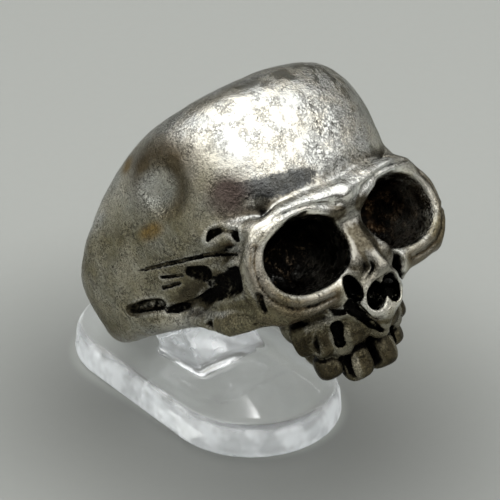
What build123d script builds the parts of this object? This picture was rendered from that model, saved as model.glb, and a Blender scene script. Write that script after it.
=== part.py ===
from build123d import *
import math
import os
import numpy as np

# Skull ring on a clear display stand. Millimetres. +Z up, the face looks along -Y, and the origin is the
# middle of the stand's foot, on the table.

# Ring
bore_radius = 10.3          # finger hole
band_wall = 2.1             # band behind the finger
band_barrel = 0.02          # how fast the band thins above and below its middle, per mm
skull_width = 24.0          # over the eye rims
skull_height = 28.0         # teeth to crown
face_wall = 10.0            # metal from the finger hole to the tip of the nose
edge_round = 2.8            # rounding of the crown and of the band's top edge
low_edge_round = 1.6        # rounding of the band's bottom edge
lean = 38.5                 # degrees that the finger hole leans back on the stand
facet = 0.055               # how far a facet may lie off the true surface

# Stand
base_length = 30.5
base_width = 16.6
base_height = 3.0
base_draft = 6.0            # degrees
base_turn = 4.6             # degrees that the foot's front end swings to the skull's right
base_fillet = 0.6
ring_ahead = 0.78           # ring's middle in front of the foot's middle
ring_aside = 0.55           # and to the skull's left of it
rest_gap = 0.8              # band's low edge over the foot: the clip carries the ring
clip_gap = 0.12             # clip to finger hole
clip_wall = 1.6
clip_height = 8.0
clip_low = -3.6             # bottom of the clip from the ring's middle, along the finger
clip_slot = 9.0             # opening in the clip, towards the face
neck_width = 7.7
neck_depth = 5.2

# Cells: the sculpture is laid out in 24ths of the skull's width, 28ths of its height and tenths of the
# face's wall. (across, out, up) is the distance from the midline, out of the finger hole and above the
# ring's middle.
across_cell, out_cell, up_cell = skull_width / 24, face_wall / 10, skull_height / 28

# Height of the ring's top and bottom edges, against out, from the back of the band to the face
edge_out = [-22.7, -15.8, -12.9, -10.3, -6.1, -3.7, -1.8, 0.9, 3.4, 6.2, 10.0]
edge_top = [3.0, 4.2, 5.3, 6.8, 9.4, 10.6, 11.4, 11.9, 12.3, 12.6, 12.8]
edge_low = [-4.7, -4.8, -4.9, -5.0, -5.7, -6.7, -7.7, -8.4, -8.6, -8.8, -9.0]

# Masses: name, middle (across, out, up), half sizes, squareness, turn about up, blend
masses = [
    ("cranium",     (0.0, -1.4, 4.0),   (11.7, 10.7, 9.4), 2.45, 0, 2.0),
    ("midface",     (0.0, 1.2, -4.6),   (10.6, 6.2, 4.8), 2.6, 0, 1.5),
]
# Added after the edges are cut
features = [
    ("jaw",         (0.0, 2.0, -9.4),   (5.3, 4.5, 2.9), 2.3, 0, 0.8),
    ("lower jaw",   (0.0, 0.6, -12.0),  (3.7, 3.0, 2.2), 2.3, 0, 0.5),
    ("nose",        (0.0, 6.4, -9.2),   (2.6, 2.8, 2.7), 2.4, 0, 0.7),
    ("nose root",   (0.0, 6.6, -6.1),   (2.4, 2.9, 3.0), 2.2, 0, 0.7),
    ("nose wing",   (2.5, 6.5, -8.3),   (2.0, 2.0, 1.9), 2.2, 0, 0.6),
    ("jaw plate",   (3.2, 3.7, -10.9),  (2.4, 1.5, 1.3), 2.3, 30, 0.4),
    ("lip",         (2.0, 4.6, -11.5),  (2.2, 1.8, 1.5), 2.3, 20, 0.4),
]
# Ridges: name, blend, then points of (across, out, up, radius)
ridges = [
    ("upper brow",  1.2, (0.0, 9.2, -0.6, 0.70), (3.0, 9.2, -0.3, 0.70), (6.2, 8.8, -0.3, 0.70), (8.8, 7.8, -1.2, 0.72), (10.2, 7.0, -3.0, 0.80), (10.4, 6.5, -5.2, 0.90), (9.8, 6.4, -7.0, 0.95)),
    ("between the eyes", 0.8, (0.9, 8.7, -1.9, 0.90), (3.2, 8.6, -1.3, 0.80)),
    ("brow root",   1.4, (8.6, 6.9, -0.6, 0.80), (9.5, 5.2, 0.0, 0.80), (10.1, 3.0, 1.0, 0.60)),
    ("bridge",      0.8, (0.0, 9.2, -1.0, 0.70), (0.0, 8.5, -3.2, 0.42), (0.0, 8.9, -5.0, 0.45), (0.0, 10.2, -7.7, 0.48)),
    ("nose side",   0.8, (1.3, 8.5, -5.2, 0.50), (1.75, 8.9, -6.5, 0.65), (1.9, 8.8, -7.2, 0.50)),
    ("nose rim",    0.8, (0.3, 9.9, -8.1, 0.36), (1.8, 8.8, -8.9, 0.34), (2.1, 8.3, -10.0, 0.34), (1.5, 8.2, -11.0, 0.34), (0.0, 8.1, -11.4, 0.42)),
    ("lip groove",  0.5, (0.0, 7.3, -11.5, 0.95), (0.0, 6.4, -12.7, 0.65)),
    ("cheek",       0.8, (9.0, 6.6, -7.9, 1.00), (4.2, 7.2, -8.3, 0.80)),
    ("cheekbone",   1.0, (9.6, 5.2, -7.2, 1.00), (10.6, 1.5, -6.9, 0.90), (10.0, -3.5, -5.2, 0.60)),
    ("plate edge",  0.4, (5.4, 3.2, -9.9, 0.42), (4.3, 4.7, -10.2, 0.45), (2.7, 6.3, -10.1, 0.42), (1.9, 6.2, -10.95, 0.42), (1.2, 6.1, -11.9, 0.40), (0.3, 5.9, -12.9, 0.32)),
]
# Teeth on each side: name, middle (across, out, up), half sizes, turn about up, lean in the face
teeth = [
    ("incisor",     (1.50, 3.1, -14.3), (1.28, 1.35, 1.65), 12, 4),
    ("side tooth",  (3.65, 2.3, -13.6), (1.15, 1.25, 1.20), 30, 0),
    ("canine",      (2.85, 4.2, -11.9), (1.05, 1.15, 1.50), 25, -14),
    ("molar 1",     (4.25, 3.5, -11.4), (1.05, 1.25, 1.45), 35, 4),
    ("molar 2",     (5.00, 2.6, -10.7), (1.05, 1.15, 1.50), 50, 0),
]
# Cuts: name, blend, then points of (across, out, up, radius)
cuts = [
    ("over the brow",    1.0, (0.4, 10.9, 1.0, 1.00), (4.0, 10.7, 1.2, 1.05), (7.4, 9.6, 1.5, 0.80)),
    ("gap incisors",     0.2, (0.0, 4.8, -13.2, 0.45), (0.0, 4.2, -16.6, 0.24)),
    ("over the incisor", 0.2, (0.0, 5.2, -13.3, 0.38), (2.2, 4.6, -13.0, 0.38), (3.3, 4.2, -12.9, 0.40)),
    ("gap side tooth",   0.2, (2.75, 3.6, -13.0, 0.42), (2.75, 3.0, -15.6, 0.34)),
    ("gap canine",       0.2, (3.55, 5.4, -10.8, 0.44), (3.55, 4.9, -12.1, 0.42)),
    ("gap molars",       0.2, (5.15, 4.35, -10.8, 0.20), (5.45, 3.9, -12.1, 0.34)),
    ("beside the nose",  0.2, (0.35, 6.8, -12.6, 0.28), (0.9, 6.85, -12.0, 0.36), (1.75, 7.0, -10.8, 0.46), (2.6, 7.1, -9.6, 0.55), (3.1, 7.9, -9.6, 0.55), (2.3, 7.8, -10.8, 0.50), (1.4, 7.6, -12.0, 0.40)),
    ("under the cheek",  0.3, (2.6, 7.1, -9.6, 0.55), (4.6, 6.2, -9.5, 0.50), (6.8, 4.8, -9.7, 0.36)),
    ("side hollow",      0.4, (11.0, 5.0, -3.5, 1.25), (10.9, 3.0, -3.5, 1.25), (10.7, 1.2, -3.8, 0.65), (10.35, -1.6, -4.3, 0.45), (10.4, -3.2, -4.2, 0.45), (10.9, -4.8, -3.9, 0.42)),
    ("band groove",      0.3, (12.1, -9.0, -2.2, 0.38), (11.6, -7.2, -2.4, 0.52), (11.1, -5.8, -2.8, 0.50)),
]
# Hollows: name, middle (across, out, up), half sizes, turn about up, tip, lean in the face, blend
dent = ("temple dent", (12.6, 1.9, 6.4), (2.4, 4.2, 3.5), -12, 18, 0, 0.4)
nostril = ("nostril", (0.92, 9.0, -9.8), (1.0, 3.2, 1.25), 0, 0, -20, 0.2)
nose_pit = ("nose pit", (2.6, 8.4, -8.4), (0.72, 2.0, 1.25), 30, 0, 8, 0.2)
spine = ((0.0, 8.0, -10.3, 0.20), (0.0, 8.2, -11.4, 0.40))
# Eye: cup behind the rim, the rim's own line, and the socket
eye_middle, eye_turn, eye_tip = (5.4, 7.9, -4.4), 4, 2
cup_middle, cup_half = (5.4, 5.0, -4.4), (5.5, 3.9, 4.0)
rim_half, rim_tube, rim_thinner, rim_wide = (4.85, 3.50), 0.70, 0.16, 1.30
socket_middle, socket_half, socket_turn = (5.25, 7.1, -4.25), (4.25, 5.0, 3.1), 14

# Columns of facets: angle from the face in degrees, and the step up to it
columns = [(3.0, 0.75), (25.0, 1.1), (36.0, 0.7), (60.0, 1.7), (96.0, 3.6), (180.0, 6.0)]


def smooth_union(a, b, blend):
    h = np.maximum(blend - np.abs(a - b), 0.0) / blend
    return np.minimum(a, b) - h * h * blend / 4


def smooth_cut(a, b, blend):
    return -smooth_union(-a, b, blend)


def seen_from(q, middle, yaw=0.0, tip=0.0, roll=0.0):
    """Cells seen from a middle and turned: yaw swings the outer side back, tip leans the top out, roll turns in the face."""
    v = q - np.array(middle, float)
    for angle, i, j in ((yaw, 0, 1), (tip, 1, 2), (roll, 0, 2)):
        if angle:
            c, s = math.cos(math.radians(angle)), math.sin(math.radians(angle))
            a, b = v[:, i].copy(), v[:, j].copy()
            v[:, i], v[:, j] = c * a - s * b, s * a + c * b
    return v


def egg(v, half, square=2.0):
    half = np.array(half, float)
    w = np.abs(v / half)
    k = (w ** square).sum(1) ** (1 / square) + 1e-9
    slope = (w ** (square - 1)) / half / k[:, None] ** (square - 1)
    return (k - 1) / (np.sqrt((slope ** 2).sum(1)) + 1e-9)


def strand(q, points):
    """Distance to the rod that runs through points of (across, out, up, radius)."""
    d = None
    for p0, p1 in zip(points, points[1:]):
        a, b = np.array(p0[:3], float), np.array(p1[:3], float)
        t = np.clip(((q - a) @ (b - a)) / ((b - a) @ (b - a)), 0, 1)
        e = np.sqrt(((q - a - t[:, None] * (b - a)) ** 2).sum(1)) - (p0[3] + (p1[3] - p0[3]) * t)
        d = e if d is None else np.minimum(d, e)
    return d


def rim_line(v, half, square=2.3):
    """Distance to an oval line that stands in the face."""
    w, t = np.abs(v[:, 0]) / half[0], np.abs(v[:, 2]) / half[1]
    k = (w ** square + t ** square) ** (1 / square) + 1e-9
    gx = w ** (square - 1) / half[0] / k ** (square - 1)
    gz = t ** (square - 1) / half[1] / k ** (square - 1)
    return np.sqrt(((k - 1) / np.sqrt(gx * gx + gz * gz + 1e-12) / rim_wide) ** 2 + v[:, 1] ** 2)


def height_along(out, heights):
    """Smooth line through the edge heights."""
    at, heights = np.array(edge_out), np.array(heights)
    step = np.diff(at)
    slope = np.diff(heights) / step
    t = np.concatenate([[slope[0]], (slope[1:] + slope[:-1]) / 2, [slope[-1]]])
    i = np.clip(np.searchsorted(at, out) - 1, 0, len(at) - 2)
    s = np.clip((out - at[i]) / step[i], 0, 1)
    return (heights[i] * (2 * s**3 - 3 * s**2 + 1) + t[i] * step[i] * (s**3 - 2 * s**2 + s)
            + heights[i + 1] * (3 * s**2 - 2 * s**3) + t[i + 1] * step[i] * (s**3 - s**2))


def skull(P):
    """Distance to the ring's outer surface at points in the ring's own frame, negative inside; the finger hole isn't cut."""
    x, y, z = P[:, 0], P[:, 1], P[:, 2]
    q = np.stack([np.abs(x) / across_cell, (-y - bore_radius) / out_cell, z / up_cell], 1)
    band_radius = bore_radius + band_wall
    d = np.hypot(x, y) - band_radius + band_barrel * (z - 0.8 * up_cell) ** 2
    for name, middle, half, square, yaw, blend in masses:
        d = smooth_union(d, egg(seen_from(q, middle, yaw), half, square), blend)
    d = smooth_cut(d, -(q[:, 2] - height_along(q[:, 1], edge_top)) * 0.9, edge_round)
    d = smooth_cut(d, -(height_along(q[:, 1], edge_low) - q[:, 2]) * 0.9, low_edge_round)
    for name, middle, half, square, yaw, blend in features:
        d = smooth_union(d, egg(seen_from(q, middle, yaw), half, square), blend)
    name, middle, half, yaw, tip, roll, blend = dent
    d = smooth_cut(d, egg(seen_from(q, middle, yaw, tip, roll), half), blend)
    for name, blend, *points in ridges:
        d = smooth_union(d, strand(q, points), blend)
    for name, middle, half, yaw, roll in teeth:
        d = smooth_union(d, egg(seen_from(q, middle, yaw, 0, roll), half, 3.0), 0.3)
    d = smooth_union(d, egg(seen_from(q, cup_middle), cup_half, 2.4), 0.6)
    eye = seen_from(q, eye_middle, eye_turn, eye_tip)
    tube = rim_tube - rim_thinner * np.clip(eye[:, 2] / rim_half[1], -1, 1)
    d = smooth_union(d, rim_line(eye, rim_half) - tube, 0.6)
    name, middle, half, yaw, tip, roll, blend = nostril
    d = smooth_cut(d, egg(seen_from(q, middle, yaw, tip, roll), half), blend)
    d = smooth_union(d, strand(q, spine), 0.3)
    name, middle, half, yaw, tip, roll, blend = nose_pit
    d = smooth_cut(d, egg(seen_from(q, middle, yaw, tip, roll), half), blend)
    for name, blend, *points in cuts:
        d = smooth_cut(d, strand(q, points), blend)
    return smooth_cut(d, egg(seen_from(q, socket_middle, socket_turn), socket_half, 2.3), 0.3)


def outermost(start, way, reach):
    """Where rays that come in along way from start first meet the ring."""
    t = np.zeros(len(start))
    live = np.arange(len(start))
    for _ in range(110):
        d = skull(start[live] + t[live, None] * way[live])
        t[live] += np.maximum(d * 0.62, 0.004)
        live = live[(d > 0.002) & (t[live] < reach[live])]
        if not len(live):
            break
    return np.minimum(t, reach)


def column_angles():
    """Angles from the face to the back, in radians."""
    angles, here = [0.0], 0.0
    for until, step in columns:
        count = max(1, round((until - here) / step))
        angles += [here + (until - here) * (i + 1) / count for i in range(count)]
        here = until
    return np.radians(angles)


def simplified(points, tolerance):
    """Keeps the fewest points of an open outline that stay within tolerance of it."""
    keep = np.zeros(len(points), bool)
    keep[[0, -1]] = True
    spans = [(0, len(points) - 1)]
    while spans:
        i, j = spans.pop()
        if j - i < 2:
            continue
        chord = points[j] - points[i]
        rest = points[i + 1:j] - points[i]
        t = np.clip(rest @ chord / max(chord @ chord, 1e-12), 0, 1)
        off = np.sqrt(((rest - t[:, None] * chord) ** 2).sum(1))
        k = int(off.argmax())
        if off[k] > tolerance or j - i > 40:
            k = k if off[k] > tolerance else (j - i) // 2
            keep[i + 1 + k] = True
            spans += [(i, i + 1 + k), (i + 1 + k, j)]
    return points[keep]


def outline(angle, low, top):
    """Rays for one upright half plane: a fan under the bore's low edge, level rays, and a fan over its top edge."""
    radial = np.array([math.sin(angle), -math.cos(angle), 0.0])
    up = np.array([0.0, 0.0, 1.0])
    foot, head = low + 1.2, top - 1.5
    fan = np.radians(np.concatenate([np.linspace(2, 40, 20), np.linspace(44, 90, 12)]))
    level = np.linspace(foot, head, max(12, int((head - foot) / 0.12)))
    bases = [radial * bore_radius + up * foot] * len(fan) + [radial * bore_radius + up * h for h in level] \
        + [radial * bore_radius + up * head] * len(fan)
    ways = [radial * math.cos(a) - up * math.sin(a) for a in fan[::-1]] + [radial] * len(level) \
        + [radial * math.cos(a) + up * math.sin(a) for a in fan]
    return np.array(bases), np.array(ways)


def ring_columns():
    """Outlines of the ring's section, one for each angle from the face to the back, from the low edge to the top one."""
    angles = column_angles()
    radial = np.stack([np.sin(angles), -np.cos(angles), 0 * angles], 1)
    up = np.array([0.0, 0.0, 1.0])
    edge, far = radial * (bore_radius + 0.03), 20.0
    full = np.full(len(angles), 2 * far)
    top = far - outermost(edge + up * far, np.tile(-up, (len(angles), 1)), full)
    low = outermost(edge - up * far, np.tile(up, (len(angles), 1)), full) - far
    rays = [outline(a, l, t) for a, l, t in zip(angles, low, top)]
    bases, ways = np.concatenate([b for b, w in rays]), np.concatenate([w for b, w in rays])
    reach = 1.7 * face_wall
    length = reach - outermost(bases + ways * reach, -ways, np.full(len(bases), reach))
    found = bases + ways * np.maximum(length, 0.05)[:, None]
    result, start = [], 0
    for (b, w), a, l, t in zip(rays, angles, low, top):
        points = found[start:start + len(b)]
        start += len(b)
        r = points[:, 0] * math.sin(a) - points[:, 1] * math.cos(a)
        profile = np.stack([r, points[:, 2]], 1)
        profile[0], profile[-1] = (bore_radius, profile[0, 1]), (bore_radius, profile[-1, 1])
        result.append(simplified(profile, facet))
    return angles, result


def placed(profile, angle):
    """A column's points in the ring's frame."""
    return [(r * math.sin(angle), -r * math.cos(angle), z) for r, z in profile]


def strip(a, b):
    """Triangles between two neighbouring columns, each step taken on the side with the shorter diagonal."""
    i = j = 0
    result = []
    while i < len(a) - 1 or j < len(b) - 1:
        ahead_a = math.dist(a[i + 1], b[j]) if i < len(a) - 1 else math.inf
        ahead_b = math.dist(a[i], b[j + 1]) if j < len(b) - 1 else math.inf
        if ahead_a <= ahead_b:
            result.append((a[i], a[i + 1], b[j]))
            i += 1
        else:
            result.append((a[i], b[j + 1], b[j]))
            j += 1
    return result


def leant(point, height):
    """A point of the ring's frame on the stand."""
    x, y, z = point
    c, s = math.cos(math.radians(lean)), math.sin(math.radians(lean))
    return (x + ring_aside, y * c + z * s - ring_ahead, -y * s + z * c + height)


angles, profiles = ring_columns()
turns = list(angles) + [2 * math.pi - a for a in angles[-2:0:-1]]
sections = [placed(p, a) for p, a in zip(profiles + profiles[-2:0:-1], turns)]
lowest = min(leant(p, 0)[2] for s in sections for p in s)
ring_height = base_height + rest_gap - lowest        # ring's middle above the table

faces = []
for a, b in zip(sections, sections[1:] + sections[:1]):
    polygons = strip(a, b) + [(a[0], b[0], b[-1], a[-1])]
    faces += [Face(Wire.make_polygon([leant(p, ring_height) for p in polygon], close=True)) for polygon in polygons]
skull_ring = Solid(Shell(faces))
skull_ring.label = "skull_ring"

# Stand: foot, neck and split clip moulded in one
foot = extrude(SlotOverall(base_length, base_width, rotation=90 - base_turn), base_height, taper=base_draft)
foot = fillet(foot.edges().group_by(Axis.Z)[-1], base_fillet)
ring_frame = Location((ring_aside, -ring_ahead, ring_height), (-lean, 0, 0))
clip_radius = bore_radius - clip_gap
clip = Cylinder(clip_radius, clip_height) - Cylinder(clip_radius - clip_wall, 2 * clip_height)
clip -= Pos(0, -clip_radius, 0) * Box(clip_slot, 2 * clip_radius, 2 * clip_height)
clip = Pos(0, 0, clip_low + clip_height / 2) * clip
neck_reach = 2 * ring_height
neck = Pos(0, clip_radius - neck_depth / 2, clip_low + clip_height - neck_reach / 2) * Box(neck_width, neck_depth, neck_reach)
neck &= Pos(0, 0, clip_low + clip_height - neck_reach / 2) * Cylinder(clip_radius, neck_reach)
neck = ring_frame * neck
neck &= Pos(0, 0, base_height / 2 + neck_reach) * Box(2 * base_length, 2 * base_length, 2 * neck_reach)
display_stand = (foot + neck + ring_frame * clip).solids()[0]
display_stand.label = "display_stand"

print("triangles", len(faces), "ring height", round(ring_height, 2), "valid", skull_ring.is_valid,
      "silver mm3", round(skull_ring.volume), "stand mm3", round(display_stand.volume))
os.makedirs("parts", exist_ok=True)
export_step(skull_ring, "parts/skull_ring.step")
export_step(display_stand, "parts/display_stand.step")
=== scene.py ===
"""Skull ring on its clear stand: worn cast silver and moulded acrylic. The sculpture is worked out in
millimetres in the ring's own frame, as in the part's source, then leant onto the stand and written in
metres."""
import math

import bpy
import numpy as np
from mathutils import Matrix, Vector


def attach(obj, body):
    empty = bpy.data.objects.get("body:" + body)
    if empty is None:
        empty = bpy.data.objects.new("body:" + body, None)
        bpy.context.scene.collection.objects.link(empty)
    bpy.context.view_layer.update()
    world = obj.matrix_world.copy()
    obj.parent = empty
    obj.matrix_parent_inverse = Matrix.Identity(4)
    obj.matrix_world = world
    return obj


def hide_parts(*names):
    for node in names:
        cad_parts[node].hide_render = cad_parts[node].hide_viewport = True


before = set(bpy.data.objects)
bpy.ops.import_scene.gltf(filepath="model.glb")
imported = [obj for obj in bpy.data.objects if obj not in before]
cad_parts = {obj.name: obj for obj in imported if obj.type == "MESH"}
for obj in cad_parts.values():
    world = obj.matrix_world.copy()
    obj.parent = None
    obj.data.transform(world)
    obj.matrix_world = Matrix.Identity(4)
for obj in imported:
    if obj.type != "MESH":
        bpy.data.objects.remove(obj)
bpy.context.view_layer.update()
MM = 0.001

# Ring and stand sizes, as in the part's source
bore_radius, band_wall, band_barrel = 10.3, 2.1, 0.02
skull_width, skull_height, face_wall = 24.0, 28.0, 10.0
edge_round, low_edge_round, lean = 2.8, 1.6, 38.5
base_length, base_width, base_height, base_draft, base_turn = 30.5, 16.6, 3.0, 6.0, 4.6
ring_aside, ring_ahead, ring_height = 0.55, 0.78, 14.29
clip_gap, clip_wall, clip_height, clip_low, clip_slot = 0.12, 1.6, 8.0, -3.6, 9.0
neck_width, neck_depth = 7.7, 5.2

# Meshing of this model alone
ring_cell, stand_cell = 0.14, 0.25          # grids that the two are meshed on
ring_faces, stand_faces = 190000, 120000    # most triangles in each
ring_low, ring_high = (-12.9, -21.4, -17.2), (12.9, 12.9, 13.6)     # box round the ring, in its own frame
stand_low, stand_high = (-11.5, -16.5, -1.0), (11.5, 16.5, 25.0)    # box round the stand, in the part's
block = 4                                   # cells along the side of a block of the grid

# Squareness of the ring's own shapes, and the blends where they join
tooth_square, cup_square, rim_square, socket_square = 3.0, 2.4, 2.3, 2.3
tooth_blend, cup_blend, rim_blend, spine_blend, socket_blend, bore_blend = 0.3, 0.6, 0.6, 0.3, 0.3, 0.25
band_crest, edge_steepness = 0.8, 0.9       # height of the band's thickest line, and slope of the cut edges

# Roundings of the stand, the blends where its shapes join, and how high in the foot the neck starts
foot_round, foot_low_round, clip_round, neck_round, neck_corner = 1.5, 0.5, 0.35, 0.3, 0.2
neck_to_foot, clip_to_neck, neck_low = 0.9, 0.6, 0.5

# Cast surface: waves of height, size and seed, and how far shelter and wear are felt for
surface_waves = ((0.045, 1.9, 3), (0.030, 0.8, 4), (0.05, 4.5, 5))
shelter_reach = ((0.35, 0.25), (0.9, 0.35), (2.2, 0.40))            # reach, and its share
wear_reach = (0.55, 1.0)

across_cell, out_cell, up_cell = skull_width / 24, face_wall / 10, skull_height / 28

# Height of the ring's top and bottom edges, against out, from the back of the band to the face
edge_out = [-22.7, -15.8, -12.9, -10.3, -6.1, -3.7, -1.8, 0.9, 3.4, 6.2, 10.0]
edge_top = [3.0, 4.2, 5.3, 6.8, 9.4, 10.6, 11.4, 11.9, 12.3, 12.6, 12.8]
edge_low = [-4.7, -4.8, -4.9, -5.0, -5.7, -6.7, -7.7, -8.4, -8.6, -8.8, -9.0]

# Masses: name, middle (across, out, up), half sizes, squareness, turn about up, blend
masses = [
    ("cranium",     (0.0, -1.4, 4.0),   (11.7, 10.7, 9.4), 2.45, 0, 2.0),
    ("midface",     (0.0, 1.2, -4.6),   (10.6, 6.2, 4.8), 2.6, 0, 1.5),
]
# Added after the edges are cut
features = [
    ("jaw",         (0.0, 2.0, -9.4),   (5.3, 4.5, 2.9), 2.3, 0, 0.8),
    ("lower jaw",   (0.0, 0.6, -12.0),  (3.7, 3.0, 2.2), 2.3, 0, 0.5),
    ("nose",        (0.0, 6.4, -9.2),   (2.6, 2.8, 2.7), 2.4, 0, 0.7),
    ("nose root",   (0.0, 6.6, -6.1),   (2.4, 2.9, 3.0), 2.2, 0, 0.7),
    ("nose wing",   (2.5, 6.5, -8.3),   (2.0, 2.0, 1.9), 2.2, 0, 0.6),
    ("jaw plate",   (3.2, 3.7, -10.9),  (2.4, 1.5, 1.3), 2.3, 30, 0.4),
    ("lip",         (2.0, 4.6, -11.5),  (2.2, 1.8, 1.5), 2.3, 20, 0.4),
]
# Ridges: name, blend, then points of (across, out, up, radius)
ridges = [
    ("upper brow",  1.2, (0.0, 9.2, -0.6, 0.70), (3.0, 9.2, -0.3, 0.70), (6.2, 8.8, -0.3, 0.70),
     (8.8, 7.8, -1.2, 0.72), (10.2, 7.0, -3.0, 0.80), (10.4, 6.5, -5.2, 0.90), (9.8, 6.4, -7.0, 0.95)),
    ("between the eyes", 0.8, (0.9, 8.7, -1.9, 0.90), (3.2, 8.6, -1.3, 0.80)),
    ("brow root",   1.4, (8.6, 6.9, -0.6, 0.80), (9.5, 5.2, 0.0, 0.80), (10.1, 3.0, 1.0, 0.60)),
    ("bridge",      0.8, (0.0, 9.2, -1.0, 0.70), (0.0, 8.5, -3.2, 0.42), (0.0, 8.9, -5.0, 0.45),
     (0.0, 10.2, -7.7, 0.48)),
    ("nose side",   0.8, (1.3, 8.5, -5.2, 0.50), (1.75, 8.9, -6.5, 0.65), (1.9, 8.8, -7.2, 0.50)),
    ("nose rim",    0.8, (0.3, 9.9, -8.1, 0.36), (1.8, 8.8, -8.9, 0.34), (2.1, 8.3, -10.0, 0.34),
     (1.5, 8.2, -11.0, 0.34), (0.0, 8.1, -11.4, 0.42)),
    ("lip groove",  0.5, (0.0, 7.3, -11.5, 0.95), (0.0, 6.4, -12.7, 0.65)),
    ("cheek",       0.8, (9.0, 6.6, -7.9, 1.00), (4.2, 7.2, -8.3, 0.80)),
    ("cheekbone",   1.0, (9.6, 5.2, -7.2, 1.00), (10.6, 1.5, -6.9, 0.90), (10.0, -3.5, -5.2, 0.60)),
    ("plate edge",  0.4, (5.4, 3.2, -9.9, 0.42), (4.3, 4.7, -10.2, 0.45), (2.7, 6.3, -10.1, 0.42),
     (1.9, 6.2, -10.95, 0.42), (1.2, 6.1, -11.9, 0.40), (0.3, 5.9, -12.9, 0.32)),
]
# Teeth on each side: name, middle (across, out, up), half sizes, turn about up, lean in the face
teeth = [
    ("incisor",     (1.50, 3.1, -14.3), (1.28, 1.35, 1.65), 12, 4),
    ("side tooth",  (3.65, 2.3, -13.6), (1.15, 1.25, 1.20), 30, 0),
    ("canine",      (2.85, 4.2, -11.9), (1.05, 1.15, 1.50), 25, -14),
    ("molar 1",     (4.25, 3.5, -11.4), (1.05, 1.25, 1.45), 35, 4),
    ("molar 2",     (5.00, 2.6, -10.7), (1.05, 1.15, 1.50), 50, 0),
]
# Cuts: name, blend, then points of (across, out, up, radius)
cuts = [
    ("over the brow",    1.0, (0.4, 10.9, 1.0, 1.00), (4.0, 10.7, 1.2, 1.05), (7.4, 9.6, 1.5, 0.80)),
    ("gap incisors",     0.2, (0.0, 4.8, -13.2, 0.45), (0.0, 4.2, -16.6, 0.24)),
    ("over the incisor", 0.2, (0.0, 5.2, -13.3, 0.38), (2.2, 4.6, -13.0, 0.38), (3.3, 4.2, -12.9, 0.40)),
    ("gap side tooth",   0.2, (2.75, 3.6, -13.0, 0.42), (2.75, 3.0, -15.6, 0.34)),
    ("gap canine",       0.2, (3.55, 5.4, -10.8, 0.44), (3.55, 4.9, -12.1, 0.42)),
    ("gap molars",       0.2, (5.15, 4.35, -10.8, 0.20), (5.45, 3.9, -12.1, 0.34)),
    ("beside the nose",  0.2, (0.35, 6.8, -12.6, 0.28), (0.9, 6.85, -12.0, 0.36), (1.75, 7.0, -10.8, 0.46),
     (2.6, 7.1, -9.6, 0.55), (3.1, 7.9, -9.6, 0.55), (2.3, 7.8, -10.8, 0.50), (1.4, 7.6, -12.0, 0.40)),
    ("under the cheek",  0.3, (2.6, 7.1, -9.6, 0.55), (4.6, 6.2, -9.5, 0.50), (6.8, 4.8, -9.7, 0.36)),
    ("side hollow",      0.4, (11.0, 5.0, -3.5, 1.25), (10.9, 3.0, -3.5, 1.25), (10.7, 1.2, -3.8, 0.65),
     (10.35, -1.6, -4.3, 0.45), (10.4, -3.2, -4.2, 0.45), (10.9, -4.8, -3.9, 0.42)),
    ("band groove",      0.3, (12.1, -9.0, -2.2, 0.38), (11.6, -7.2, -2.4, 0.52), (11.1, -5.8, -2.8, 0.50)),
]
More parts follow.
